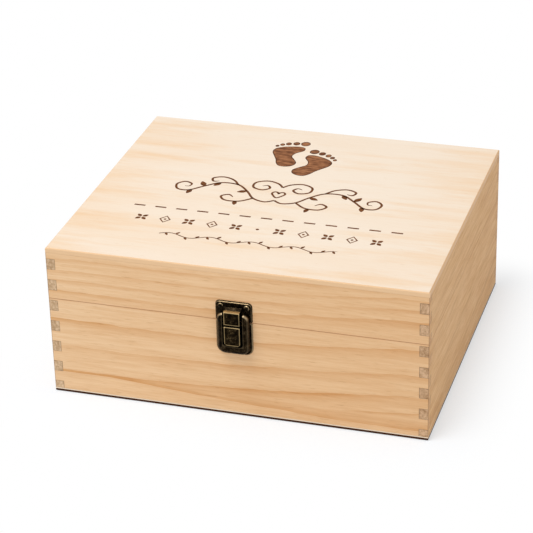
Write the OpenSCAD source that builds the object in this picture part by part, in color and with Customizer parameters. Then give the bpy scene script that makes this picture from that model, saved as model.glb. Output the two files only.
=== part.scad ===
// Keepsake box: finger-jointed pine box with a hinged lid and a sprung front latch.
// Millimetres. +X is right, the front faces -Y, +Z is up.
// The origin is the middle of the underside.

/* [Box] */
// Width of the box, left to right
box_w = 290; // [180:1:420]
// Depth of the box, front to back
box_d = 250; // [120:1:360]
// Height of the closed box
box_h = 122; // [106:1:180]
// Height of the seam between base and lid
seam_h = 80; // [46:1:98]
// Gap left by the saw at the seam
seam_gap = 0.2; // [0.1:0.05:0.6]
// Thickness of the front, back and side boards
board_t = 7; // [6.8:0.1:12]
// Thickness of the plywood bottom
bottom_t = 3; // [2:0.1:8]
// Thickness of the lid's top panel
top_t = 4; // [3:0.1:10]
// Eased edge of the top panel
edge_ease = 0.7; // [0.2:0.1:1.6]
// Eased lower edge of the bottom
bottom_ease = 0.7; // [0.2:0.1:1.8]

/* [Finger joints] */
// Height of one finger
finger_h = 8.65; // [5:0.05:20]
// How much of the lowest side finger the bottom edge cuts off
finger_cut = 2.45; // [0:0.05:4.5]
// Glue line between two glued faces
glue_gap = 0.1; // [0.04:0.02:0.2]

/* [Latch plates] */
// Width of both latch plates
plate_w = 28; // [26:0.5:40]
// Thickness of the sheet that the latch plate is pressed from
sheet_t = 1; // [0.8:0.1:1.3]
// Thickness of the catch plate
catch_t = 1.2; // [1:0.1:1.4]
// Width of the bevel round both plates
plate_bevel = 0.8; // [0.3:0.1:1.2]
// Distance of each plate's edge from the seam
plate_gap = 0.4; // [0.3:0.1:1.2]
// Height of the catch plate's top edge above the seam
catch_rise = 16.2; // [15.4:0.1:22]
// Corner radius of both plates at the seam
seam_corner = 0.8; // [0.3:0.1:1.5]
// Corner radius at the top of the catch plate
catch_corner = 3.2; // [2:0.1:4]
// Corner radius at the bottom of the latch plate
latch_corner = 6; // [3:0.1:8]
// Distance of the catch screws from the plate's edges
catch_screw_inset = 4.1; // [3.4:0.1:5]

/* [Latch rim] */
// How far the rim stands out from the front board
rim_out = 5.8; // [5:0.1:6.4]
// Flange left round the outside of the rim
rim_margin = 1.8; // [1:0.1:2.4]
// Thickness of the rim's walls, where the sheet is drawn over it
rim_wall = 0.9; // [0.7:0.05:1]
// Height of the rim's bottom band
rim_band = 6.6; // [5:0.1:9]
// Radius of the rim's domed outer edge
rim_dome = 3; // [1.5:0.1:3.4]
// Corner radius at the bottom of the rim
rim_corner = 6.4; // [5:0.1:7.5]
// Corner radius at the bottom of the channel between the rim's arms
channel_corner = 2.8; // [1:0.1:4]
// How far the rim's two arms reach above the seam
arm_rise = 8; // [6:0.1:10]
// Space between the catch plate and the back of the arms
arm_gap = 0.4; // [0.2:0.05:0.8]

/* [Latch tongue] */
// Width of the tongue
tongue_w = 12; // [10:0.1:13]
// Thickness of the tongue's panels
tongue_t = 1.2; // [1:0.1:1.4]
// How far the tongue's face stands out from the front board
tongue_out = 7; // [6.8:0.1:8.5]
// Length of the thumb panel below the seam
tongue_drop = 17.3; // [14:0.1:20]
// Corner radius at the bottom of the thumb panel
thumb_corner = 2.2; // [1:0.1:4]
// Raised border round each panel
border_w = 1; // [0.6:0.1:1.8]
// Depth of the panels' sunk fields
field_depth = 0.4; // [0.2:0.05:0.6]
// Depth of the groove between hook and thumb panel
groove_depth = 0.75; // [0.3:0.05:0.8]
// Height of the groove between hook and thumb panel
groove_h = 1.7; // [0.8:0.1:2.5]
// Space between the tongue and each arm
channel_gap = 1.8; // [1:0.1:2.2]
// Space below the thumb panel
thumb_gap = 1.5; // [1:0.1:3]
// How far the tongue swings when it is pressed, in degrees
press_angle = 12; // [8:0.5:14]

/* [Latch pivot] */
// Distance of the pivot from the front board
pivot_out = 3.4; // [3.2:0.1:3.9]
// Distance of the pivot below the seam
pivot_drop = 1.15; // [0.8:0.05:2]
// Radius of the pivot pin
pivot_r = 0.8; // [0.6:0.05:0.9]
// Radius of the tongue's ears round the pin
ear_r = 1.8; // [1.4:0.1:2]
// Running clearance of a pin in the piece that turns on it
run_gap = 0.05; // [0.02:0.01:0.09]
// Clearance of a pin or screw in the piece that holds it
hold_gap = 0.02; // [0.01:0.01:0.05]
// Thickness of the tongue's ears
ear_t = 0.9; // [0.7:0.1:1.2]
// Radius of the spring's wire
wire_r = 0.25; // [0.15:0.05:0.3]
// Space between the pin and the spring's turns
coil_gap = 0.2; // [0.1:0.05:0.25]
// Space between the spring's turns
turn_gap = 0.5; // [0.45:0.05:0.7]
// Turns of the spring on the pin
spring_turns = 5; // [3:1:6]
// Length of the spring's two legs
spring_leg = 7; // [4:0.5:8]

/* [Catch] */
// Width of the catch where it leaves its plate
catch_w = 12.6; // [10:0.1:14]
// How far the catch stands out from the front board
catch_out = 5.5; // [5:0.1:5.6]
// Distance of the catch's ledge from the tongue's pivot
ledge_r = 10.6; // [9.5:0.1:11.5]
// How deep the tongue's lip reaches over the ledge
lip_reach = 1; // [0.6:0.1:1.4]
// Thickness of the lip
lip_t = 1.1; // [0.8:0.1:1.5]
// Space between the lip and the ledge
lip_gap = 0.15; // [0.08:0.01:0.3]
// Height above the ledge at which the catch's top slope leaves the plate
catch_slope = 2.9; // [1.5:0.1:3.5]
// Height above the seam at which the catch's closing ramp leaves the plate
ramp_rise = 3.4; // [2.4:0.1:5]
// Height of the catch's blunt outer edge
catch_edge = 1.4; // [0.8:0.1:2.2]

/* [Hinges] */
// Distance of each hinge's middle from the side of the box
hinge_inset = 57; // [30:1:120]
// Width of a hinge
hinge_w = 30; // [24:1:36]
// Height of each leaf
leaf_h = 15; // [11:0.5:19]
// Thickness of a leaf
leaf_t = 1; // [0.8:0.1:1.4]
// Radius of the knuckles
knuckle_r = 2; // [1.8:0.1:2.6]
// Radius of the hinge pin
hinge_pin_r = 1; // [0.7:0.05:1.2]
// Width of the lid leaf's middle knuckle
mid_knuckle_w = 11; // [8:0.5:14]
// Space between one leaf's knuckle and the other leaf
knuckle_gap = 0.3; // [0.15:0.05:0.5]
// How far the lid opens, in degrees
open_angle = 100; // [90:1:110]
// Thickness of the stop on the middle knuckle
stop_t = 1; // [0.7:0.1:1.4]
// How far the stop stands out from the knuckle
stop_reach = 2.2; // [1.6:0.1:3]
// Space left at the stop when the lid is fully open
stop_gap = 0.1; // [0.05:0.01:0.2]
// Distance between a leaf's two screws
hinge_screw_gap = 18; // [12:0.5:20]
// Distance of a leaf's screws from its outer edge
hinge_screw_inset = 5.7; // [3:0.1:6]
// Height of the head at a hinge pin's outer end
pin_head_h = 0.6; // [0.4:0.1:1]

/* [Screws] */
// Radius of a screw's head
head_r = 2.1; // [1.8:0.1:2.4]
// Height of a screw's head
head_h = 1.1; // [0.7:0.1:1.3]
// Radius of a screw's shank
shank_r = 1; // [0.8:0.05:1.2]
// Length of a screw under its head
screw_len = 6.4; // [4.5:0.1:7]
// Length of the cross in a screw's head
cross_len = 2.3; // [1.6:0.1:2.8]
// Width of the cross's slots
cross_w = 0.5; // [0.3:0.05:0.7]
// Depth of the cross
cross_depth = 0.6; // [0.3:0.05:0.6]
// Distance of the latch plate's screws from the middle
latch_screw_x = 4.4; // [3:0.1:5]
// Depth of the latch plate's screws below the seam
latch_screw_drop = 12.4; // [11.5:0.1:14]

/* [Hidden] */
$fn = 64;

// overlap of touching forms, how far a cut runs past a face, and through everything
skin = 0.02;
over = 1;
far = 100;

// smallest corner of a plate's flat, and the upright share of its bevelled edge
least_corner = 0.2;
edge_share = 0.35;

// heights of the boards in the base and in the lid
base_low = bottom_t + glue_gap;
base_high = seam_h - seam_gap / 2;
lid_low = seam_h + seam_gap / 2;
lid_high = box_h - top_t - glue_gap;
comb_low = bottom_t - finger_cut;
pitch = 2 * finger_h;
least_finger = 0.3;

// latch: x across, y up from the seam, z out from the front board
channel_w = tongue_w + 2 * channel_gap;
rim_w = plate_w - 2 * rim_margin;
arm_w = (rim_w - channel_w) / 2;
channel_low = -tongue_drop - thumb_gap;
rim_low = channel_low - rim_band;
plate_low = rim_low - rim_margin;
tongue_back = tongue_out - tongue_t;
pivot_y = -pivot_drop;
lip_in = ledge_r + lip_gap;
lip_top = lip_in + lip_t;
lip_tip = catch_out - lip_reach;
ledge_back = 0.4;
ledge_end = lip_tip - ledge_back;
groove_low = pivot_y - groove_h / 2;
groove_high = pivot_y + groove_h / 2;
hook_high = arc_y(lip_top, tongue_out);
field_corner = 0.3;
catch_taper = 0.4;
catch_root = 0.1;
catch_screw_x = plate_w / 2 - catch_screw_inset;
catch_screw_y = catch_rise - catch_screw_inset;
pin_past = 0.3;
pin_end_gap = 0.2;
pivot_pin_w = channel_w + 2 * (rim_wall + pin_past);
pivot_bore_w = pivot_pin_w + 2 * pin_end_gap;

// spring: mean radius, the turns' spacing and the slope of its two legs
coil_r = pivot_r + coil_gap + wire_r;
leg_gap = 0.1;
coil_pitch = 2 * wire_r + turn_gap;
coil_w = spring_turns * coil_pitch;
plate_leg_tilt =
  asin((pivot_out - coil_r - sheet_t - wire_r - leg_gap) / (spring_leg + coil_r));
thumb_leg_tilt = press_angle
  - asin((tongue_back - pivot_out - coil_r - wire_r - leg_gap) / (spring_leg + coil_r));
coil_steps = 16;
wire_sides = 8;

// hinges: the axis lies behind the back board, level with the seam
hinge_x = box_w / 2 - hinge_inset;
axis_out = knuckle_r + knuckle_gap;
side_knuckle_w = (hinge_w - mid_knuckle_w) / 2 - knuckle_gap;
leaf_face = leaf_t - axis_out;
hinge_screw_z = leaf_h - hinge_screw_inset;
stop_inset = 0.5;
pin_head_inset = 0.4;
pin_head_r = knuckle_r - pin_head_inset;

// screws: radius of the point, and how much deeper the pilot hole goes
tip_r = 0.1;
pilot_past = 0.1;

// colours
pine = "#e6bf8e";
pine_pale = "#f1d9b8";
pine_dark = "#d2a673";
bronze = "#4a3c28";
bronze_worn = "#6d5838";
steel = "#8c8c88";

// ---- general shapes ----

// Height on a circle round the tongue's pivot, at a distance from the front board
function arc_y(r, out) = pivot_y + sqrt(r * r - pow(out - pivot_out, 2));

// Rounded rectangle from its low to its high corner, with lower and upper corner radii
module plate_outline(low, high, r_low, r_high) {
  module round_ends(r, y) {
    for (x = [low[0] + r, high[0] - r]) translate([x, y]) circle(r);
  }
  translate([low[0], low[1] + r_low])
    square([high[0] - low[0], high[1] - low[1] - r_low - r_high]);
  translate([low[0] + r_low, low[1]]) square([high[0] - low[0] - 2 * r_low, r_low + skin]);
  translate([low[0] + r_high, high[1] - r_high - skin])
    square([high[0] - low[0] - 2 * r_high, r_high + skin]);
  round_ends(r_low, low[1] + r_low);
  round_ends(r_high, high[1] - r_high);
}

// Sheet with a bevelled edge, from the board outwards
module bevelled_plate(low, high, r_low, r_high, t) {
  inset = [plate_bevel, plate_bevel];
  hull() {
    linear_extrude(t * edge_share) plate_outline(low, high, r_low, r_high);
    linear_extrude(t)
      plate_outline(low + inset, high - inset, max(r_low - plate_bevel, least_corner),
        max(r_high - plate_bevel, least_corner));
  }
}

// Round-headed cross-slot wood screw, head outwards along +Z, seated at z = 0
module screw() {
  dome_r = (head_r * head_r + head_h * head_h) / (2 * head_h);
  tip = 2 * shank_r;
  difference() {
    intersection() {
      translate([0, 0, head_h - dome_r]) sphere(dome_r);
      cylinder(r = head_r, h = head_h);
    }
    for (a = [0, 90]) rotate([0, 0, a])
      translate([-cross_len / 2, -cross_w / 2, head_h - cross_depth])
        cube([cross_len, cross_w, head_h]);
  }
  translate([0, 0, tip - screw_len]) cylinder(r = shank_r, h = screw_len - tip + skin);
  translate([0, 0, -screw_len]) cylinder(r1 = tip_r, r2 = shank_r, h = tip);
}

// Pilot hole for a screw, with room for its tip
module pilot() {
  translate([0, 0, -screw_len - pilot_past])
    cylinder(r = shank_r + hold_gap, h = screw_len + far);
}

// Place pieces on the front board, with z outwards and y up from the seam
module on_front() {
  translate([0, -box_d / 2, seam_h]) rotate([90, 0, 0]) children();
}

// Extrude an outline of (out, up) across the latch, centred
module across(w) {
  rotate([0, -90, 0]) linear_extrude(w, center = true) children();
}

// ---- boards ----

// Heights taken by the side boards' fingers between two heights
function finger_spans(low, high) = [
  for (k = [0 : ceil((high - comb_low) / pitch)])
    let (a = max(low, comb_low + k * pitch), b = min(high, comb_low + k * pitch + finger_h))
      if (b - a > least_finger) [a, b]
];

module side_board(side, low, high) {
  x0 = side > 0 ? box_w / 2 - board_t : -box_w / 2;
  inner_d = box_d - 2 * board_t - 2 * glue_gap;
  translate([x0, -inner_d / 2, low]) cube([board_t, inner_d, high - low]);
  for (span = finger_spans(low, high))
    translate([x0, -box_d / 2, span[0]]) cube([board_t, box_d, span[1] - span[0]]);
}

module end_board(side, low, high) {
  y0 = side > 0 ? box_d / 2 - board_t : -box_d / 2;
  difference() {
    translate([-box_w / 2, y0, low]) cube([box_w, board_t, high - low]);
    for (span = finger_spans(low, high), x = [-1, 1])
      translate([x * box_w / 2 - board_t - glue_gap, y0 - over, span[0] - glue_gap])
        cube([2 * (board_t + glue_gap), board_t + 2 * over, span[1] - span[0] + 2 * glue_gap]);
  }
}

// Panel over the whole box with its edges eased on one face
module eased_panel(t, e, eased_up) {
  module slab(w, d) {
    rotate([90, 0, 0]) translate([0, 0, -d / 2]) linear_extrude(d)
      polygon([[-w / 2, 0], [w / 2, 0], [w / 2, t - e], [w / 2 - e, t],
        [-w / 2 + e, t], [-w / 2, t - e]]);
  }
  mirror([0, 0, eased_up ? 0 : 1]) translate([0, 0, eased_up ? 0 : -t]) intersection() {
    slab(box_w, box_d);
    rotate([0, 0, 90]) slab(box_d, box_w);
  }
}

module bottom_panel() {
  color(pine_pale) eased_panel(bottom_t, bottom_ease, false);
}

module base_front_board() {
  color(pine) difference() {
    end_board(-1, base_low, base_high);
    on_front() latch_screw_spots() pilot();
  }
}

module base_back_board() {
  color(pine) difference() {
    end_board(1, base_low, base_high);
    hinge_screw_spots(-1) pilot();
  }
}

module base_left_board() {
  color(pine_dark) side_board(-1, base_low, base_high);
}

module base_right_board() {
  color(pine_dark) side_board(1, base_low, base_high);
}

module top_panel() {
  color(pine_pale) translate([0, 0, box_h - top_t]) eased_panel(top_t, edge_ease, true);
}

module lid_front_board() {
  color(pine) difference() {
    end_board(-1, lid_low, lid_high);
    on_front() catch_screw_spots() pilot();
  }
}

module lid_back_board() {
  color(pine) difference() {
    end_board(1, lid_low, lid_high);
    hinge_screw_spots(1) pilot();
  }
}

module lid_left_board() {
  color(pine_dark) side_board(-1, lid_low, lid_high);
}

module lid_right_board() {
  color(pine_dark) side_board(1, lid_low, lid_high);
}

// ---- latch, in the front board's frame ----

module catch_screw_spots() {
  for (x = [-1, 1]) translate([x * catch_screw_x, catch_screw_y, catch_t]) children();
}

module latch_screw_spots() {
  for (x = [-1, 1]) translate([x * latch_screw_x, -latch_screw_drop, sheet_t]) children();
}

// Half of the rim's section, out to its domed outer edge, drawn in by a wall's thickness
module rim_section(w, inset) {
  r = rim_dome - inset;
  top = rim_out - inset;
  low = inset > 0 ? -over : 0;
  difference() {
    translate([0, low]) square([w - inset, top - low]);
    translate([w - inset - r, top - r]) difference() {
      square(2 * r);
      circle(r);
    }
  }
}

// The rim's outer form before its channel is cut
module rim_blank(inset) {
  half_w = rim_w / 2;
  corner = [half_w - rim_corner, rim_low + rim_corner];
  arm = [half_w - arm_w, arm_rise - arm_w];
  for (side = [0, 1]) mirror([side, 0, 0]) {
    translate([0, arm[1], 0]) rotate([90, 0, 0])
      linear_extrude(arm[1] - corner[1]) rim_section(half_w, inset);
    translate([arm[0], arm[1], 0]) rotate_extrude(angle = 90) rim_section(arm_w, inset);
    translate([corner[0], corner[1], 0]) rotate([0, 0, -90])
      rotate_extrude(angle = 90) rim_section(rim_corner, inset);
    translate([0, corner[1], 0]) mirror([0, 1, 0]) rotate([90, 0, 90])
      linear_extrude(corner[0]) rim_section(rim_corner, inset);
  }
}

// Open channel between the arms, widened by a wall's thickness for the hollow
module channel(grow) {
  w = channel_w + 2 * grow;
  translate([0, 0, -over]) linear_extrude(rim_out + 2 * over)
    plate_outline([-w / 2, channel_low - grow], [w / 2, arm_rise + over],
      channel_corner + grow, least_corner);
}

// Pin along the tongue's pivot
module pivot_rod(r, w) {
  translate([0, pivot_y, pivot_out]) rotate([0, 90, 0]) cylinder(r = r, h = w, center = true);
}

// Latch plate and rim, pressed from one sheet and hollow towards the board
module latch_plate() {
  color(bronze) on_front() difference() {
    union() {
      bevelled_plate([-plate_w / 2, plate_low], [plate_w / 2, -plate_gap],
        latch_corner, seam_corner, sheet_t);
      difference() {
        rim_blank(0);
        channel(0);
      }
    }
    // hollow behind the rim
    difference() {
      rim_blank(rim_wall);
      channel(rim_wall);
    }
    // room for the catch plate behind the arms
    translate([-plate_w, -plate_gap, -over])
      cube([2 * plate_w, far, over + catch_t + arm_gap]);
    pivot_rod(pivot_r + hold_gap, pivot_bore_w);
    latch_screw_spots() cylinder(r = shank_r + hold_gap, h = far, center = true);
  }
}

module latch_plate_screws() {
  color(bronze_worn) on_front() latch_screw_spots() screw();
}

module latch_pin() {
  color(bronze_worn) on_front() pivot_rod(pivot_r, pivot_pin_w);
}

// Outline of the tongue from the side: skin, lip over the ledge and groove
module tongue_profile() {
  difference() {
    union() {
      translate([tongue_back, -tongue_drop]) square([tongue_t, tongue_drop + pivot_y + skin]);
      intersection() {
        translate([pivot_out, pivot_y]) circle(lip_top, $fn = 128);
        translate([tongue_back, pivot_y]) square([tongue_t, far]);
      }
      intersection() {
        translate([pivot_out, pivot_y]) difference() {
          circle(lip_top, $fn = 128);
          circle(lip_in, $fn = 128);
        }
        translate([lip_tip, pivot_y]) square([tongue_out - lip_tip, far]);
      }
    }
    translate([tongue_out - groove_depth, groove_low]) square([tongue_t, groove_h]);
  }
}

// Sunk field of a panel, inside its raised border
module field(low_y, high_y, r_low) {
  x = tongue_w / 2 - border_w;
  translate([0, 0, tongue_out - field_depth]) linear_extrude(far)
    plate_outline([-x, low_y + border_w], [x, high_y - border_w], r_low, field_corner);
}

module latch_tongue() {
  ear_x = tongue_w / 2 - ear_t / 2;
  color(bronze) on_front() difference() {
    union() {
      intersection() {
        across(tongue_w) tongue_profile();
        linear_extrude(far)
          plate_outline([-tongue_w / 2, -tongue_drop], [tongue_w / 2, lip_top],
            thumb_corner, least_corner);
      }
      for (x = [-ear_x, ear_x]) translate([x, 0, 0]) across(ear_t) {
        translate([pivot_out, pivot_y]) circle(ear_r);
        translate([pivot_out, pivot_y - ear_r])
          square([tongue_back - pivot_out + skin, 2 * ear_r]);
      }
    }
    field(groove_high, hook_high, field_corner);
    field(-tongue_drop, groove_low, max(thumb_corner - border_w, field_corner));
    pivot_rod(pivot_r + run_gap, 2 * tongue_w);
  }
}

// Catch: slopes down from its plate to a ledge, with a closing ramp under it
module catch_plate() {
  ledge_y = arc_y(ledge_r, catch_out);
  outline = [
    [catch_root, ramp_rise], [catch_out, ledge_y - catch_edge], [catch_out, ledge_y],
    [ledge_end, arc_y(ledge_r, ledge_end)], [catch_root, ledge_y + catch_slope]
  ];
  color(bronze) on_front() difference() {
    union() {
      bevelled_plate([-plate_w / 2, plate_gap], [plate_w / 2, catch_rise],
        seam_corner, catch_corner, catch_t);
      intersection() {
        across(catch_w) polygon(outline);
        // the sides draw in towards the ledge
        rotate([90, 0, 0]) linear_extrude(far, center = true)
          polygon([[-catch_w / 2, 0], [catch_w / 2, 0],
            [catch_w / 2 - catch_taper, catch_out], [-catch_w / 2 + catch_taper, catch_out]]);
      }
    }
    catch_screw_spots() cylinder(r = shank_r + hold_gap, h = far, center = true);
  }
}

module catch_screws() {
  color(bronze_worn) on_front() catch_screw_spots() screw();
}

// Ring of points round one point of the wire, square to the way it runs
function wire_ring(p, way) =
  let (
    t = way / norm(way),
    u = cross(cross(t, [1, 0, 0]), t),
    n = u / norm(u),
    m = cross(t, n)
  )
  [for (s = [0 : wire_sides - 1])
    p + wire_r * (cos(360 * s / wire_sides) * n + sin(360 * s / wire_sides) * m)];

// Torsion spring: one unbroken wire, a leg on the plate, the coil, a leg at the thumb panel
module latch_spring() {
  start = 180 - plate_leg_tilt;
  sweep = 360 * spring_turns + (180 + plate_leg_tilt - thumb_leg_tilt);
  steps = ceil(sweep * coil_steps / 360);
  // place on the coil: angle 0 is outwards, 90 is up
  function coil(a) = [
    -coil_w / 2 + coil_w * (start - a) / sweep, coil_r * sin(a), coil_r * cos(a)
  ];
  first = coil(start);
  last = coil(start - sweep);
  down_plate = [0, -cos(plate_leg_tilt), -sin(plate_leg_tilt)];
  down_thumb = [0, -cos(thumb_leg_tilt), -sin(thumb_leg_tilt)];
  path = concat(
    [first + spring_leg * down_plate],
    [for (k = [0 : steps]) coil(start - sweep * k / steps)],
    [last + spring_leg * down_thumb]
  );
  count = len(path);
  points = [
    for (k = [0 : count - 1])
      each wire_ring(path[k], path[min(k + 1, count - 1)] - path[max(k - 1, 0)])
  ];
  sides = [
    for (k = [0 : count - 2], s = [0 : wire_sides - 1])
      let (a = k * wire_sides + s, b = k * wire_sides + (s + 1) % wire_sides)
        each [[a, b, b + wire_sides], [a, b + wire_sides, a + wire_sides]]
  ];
  cap = [for (s = [1 : wire_sides - 2]) [0, s + 1, s]];
  back = (count - 1) * wire_sides;
  end_cap = [for (s = [1 : wire_sides - 2]) [back, back + s, back + s + 1]];
  echo(least_gap_between_turns = coil_w * 360 / sweep - 2 * wire_r);
  color(steel) on_front() translate([0, pivot_y, pivot_out])
    polyhedron(points, concat(sides, cap, end_cap));
}

// ---- hinges, each in the frame of its own axis ----

module hinge_at(side) {
  translate([side * hinge_x, box_d / 2 + axis_out, seam_h]) children();
}

// Screw places on both hinges' base leaves (-1) or lid leaves (1), heads outwards
module hinge_screw_spots(leaf) {
  for (side = [-1, 1], x = [-1, 1]) hinge_at(side)
    translate([x * hinge_screw_gap / 2, leaf_face, leaf * hinge_screw_z])
      rotate([-90, 0, 0]) children();
}

// Cylinder along the axis
module barrel(r, w) {
  rotate([0, 90, 0]) cylinder(r = r, h = w, center = true);
}

// Leaf plate above (1) or below (-1) the axis
module leaf(way) {
  translate([-hinge_w / 2, -axis_out, way > 0 ? 0 : -leaf_h]) cube([hinge_w, leaf_t, leaf_h]);
}

// Room that a leaf leaves for the other leaf's knuckle
module knuckle_room(w) {
  cube([w, far, 2 * axis_out], center = true);
}

module leaf_screw_holes(way) {
  for (x = [-1, 1])
    translate([x * hinge_screw_gap / 2, 0, way * hinge_screw_z]) rotate([90, 0, 0])
      cylinder(r = shank_r + hold_gap, h = far, center = true);
}

module base_leaf(side) {
  knuckle_x = (hinge_w - side_knuckle_w) / 2;
  color(bronze) hinge_at(side) difference() {
    union() {
      difference() {
        leaf(-1);
        knuckle_room(mid_knuckle_w + 2 * knuckle_gap);
      }
      for (x = [-knuckle_x, knuckle_x]) translate([x, 0, 0]) barrel(knuckle_r, side_knuckle_w);
    }
    barrel(hinge_pin_r + hold_gap, far);
    leaf_screw_holes(-1);
  }
}

module lid_leaf(side) {
  color(bronze) hinge_at(side) difference() {
    union() {
      difference() {
        leaf(1);
        for (x = [-1, 1]) translate([x * hinge_w / 2, 0, 0])
          knuckle_room(2 * (side_knuckle_w + knuckle_gap));
      }
      barrel(knuckle_r, mid_knuckle_w);
      // the stop, shaped where it meets the base leaf and turned back to the closed lid
      rotate([open_angle, 0, 0])
        translate([stop_inset - mid_knuckle_w / 2, leaf_face + stop_gap, -knuckle_r - stop_reach])
          cube([mid_knuckle_w - 2 * stop_inset, stop_t, knuckle_r + stop_reach]);
    }
    barrel(hinge_pin_r + run_gap, far);
    leaf_screw_holes(1);
  }
}

// Hinge pin with a domed head at its outer end
module hinge_pin(side) {
  color(bronze_worn) hinge_at(side) {
    barrel(hinge_pin_r, hinge_w);
    translate([side * hinge_w / 2, 0, 0]) rotate([0, side * 90, 0]) {
      cylinder(r = pin_head_r, h = pin_head_h / 2);
      translate([0, 0, pin_head_h / 2])
        cylinder(r1 = pin_head_r, r2 = hinge_pin_r, h = pin_head_h / 2);
    }
  }
}

module left_hinge_base_leaf() { base_leaf(-1); }
module right_hinge_base_leaf() { base_leaf(1); }
module left_hinge_lid_leaf() { lid_leaf(-1); }
module right_hinge_lid_leaf() { lid_leaf(1); }
module left_hinge_pin() { hinge_pin(-1); }
module right_hinge_pin() { hinge_pin(1); }

module hinge_base_screws() {
  color(bronze_worn) hinge_screw_spots(-1) screw();
}

module hinge_lid_screws() {
  color(bronze_worn) hinge_screw_spots(1) screw();
}

// ---- pieces ----

bottom_panel();
base_front_board();
base_back_board();
base_left_board();
base_right_board();
latch_plate();
latch_plate_screws();
latch_pin();
latch_spring();
left_hinge_base_leaf();
right_hinge_base_leaf();
left_hinge_pin();
right_hinge_pin();
hinge_base_screws();
top_panel();
lid_front_board();
lid_back_board();
lid_left_board();
lid_right_board();
catch_plate();
catch_screws();
left_hinge_lid_leaf();
right_hinge_lid_leaf();
hinge_lid_screws();
latch_tongue();
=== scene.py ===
"""Looks of the keepsake box: wood, metal, burnt-in ornament, light and camera.

Metres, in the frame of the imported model: +X right, front facing -Y, +Z up. Only the ornament's
outlines are written in millimetres.
"""

import math
from dataclasses import dataclass
import bpy
from mathutils import Euler, Matrix, Vector


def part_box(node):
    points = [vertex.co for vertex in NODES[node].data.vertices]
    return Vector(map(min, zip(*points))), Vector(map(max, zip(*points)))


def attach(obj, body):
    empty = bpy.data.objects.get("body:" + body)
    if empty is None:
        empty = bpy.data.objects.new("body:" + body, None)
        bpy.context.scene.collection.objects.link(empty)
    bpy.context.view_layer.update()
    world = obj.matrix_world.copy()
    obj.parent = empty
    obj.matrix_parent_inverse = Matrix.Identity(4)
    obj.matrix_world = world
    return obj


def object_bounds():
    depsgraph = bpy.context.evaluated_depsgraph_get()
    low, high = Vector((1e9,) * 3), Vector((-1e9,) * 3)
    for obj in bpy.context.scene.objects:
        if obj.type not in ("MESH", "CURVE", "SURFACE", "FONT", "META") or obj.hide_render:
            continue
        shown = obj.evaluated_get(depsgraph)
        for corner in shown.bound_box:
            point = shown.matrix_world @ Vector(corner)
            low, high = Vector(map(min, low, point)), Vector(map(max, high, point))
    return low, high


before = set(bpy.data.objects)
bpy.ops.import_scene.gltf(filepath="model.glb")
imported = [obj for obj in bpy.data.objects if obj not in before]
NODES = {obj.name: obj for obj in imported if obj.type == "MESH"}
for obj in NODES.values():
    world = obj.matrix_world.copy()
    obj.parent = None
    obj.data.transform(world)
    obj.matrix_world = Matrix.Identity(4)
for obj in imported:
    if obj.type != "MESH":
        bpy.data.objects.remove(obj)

CAD_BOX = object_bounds()
MM = 0.001

# the box: its outer faces, its boards and the saw cut between base and lid
TOP_Z = CAD_BOX[1].z
FRONT_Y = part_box("base_front_board")[0].y
BOARD_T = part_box("base_front_board")[1].y - FRONT_Y
SIDE_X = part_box("base_right_board")[1].x
HALF_DEPTH = -FRONT_Y
SEAM_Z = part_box("base_front_board")[1].z
SEAM_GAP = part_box("lid_front_board")[0].z - SEAM_Z

# latch: how far out its faces stand, and the edges of its panels and of the channel round them
TONGUE_OUT = FRONT_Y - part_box("latch_tongue")[0].y
RIM_OUT = FRONT_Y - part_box("latch_plate")[0].y
HOOK_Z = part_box("latch_tongue")[1].z - 0.5 * MM
HOOK_LOW_Z = SEAM_Z - 0.2 * MM
THUMB_TOP_Z = SEAM_Z - 1.9 * MM
TONGUE_LOW_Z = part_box("latch_tongue")[0].z
TONGUE_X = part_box("latch_tongue")[1].x
CHANNEL_X = TONGUE_X + 1.8 * MM
CHANNEL_LOW_Z = TONGUE_LOW_Z - 1.5 * MM

# finger joints: height of one finger and of the comb's first edge
FINGER = 8.65 * MM
COMB_LOW = 0.55 * MM


def srgb(hex_colour):
    """Linear colour from its usual written form."""
    parts = [int(hex_colour[i : i + 2], 16) / 255 for i in (1, 3, 5)]
    linear = [c / 12.92 if c <= 0.04045 else ((c + 0.055) / 1.055) ** 2.4 for c in parts]
    return (*linear, 1.0)


# ---- node trees ----


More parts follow.
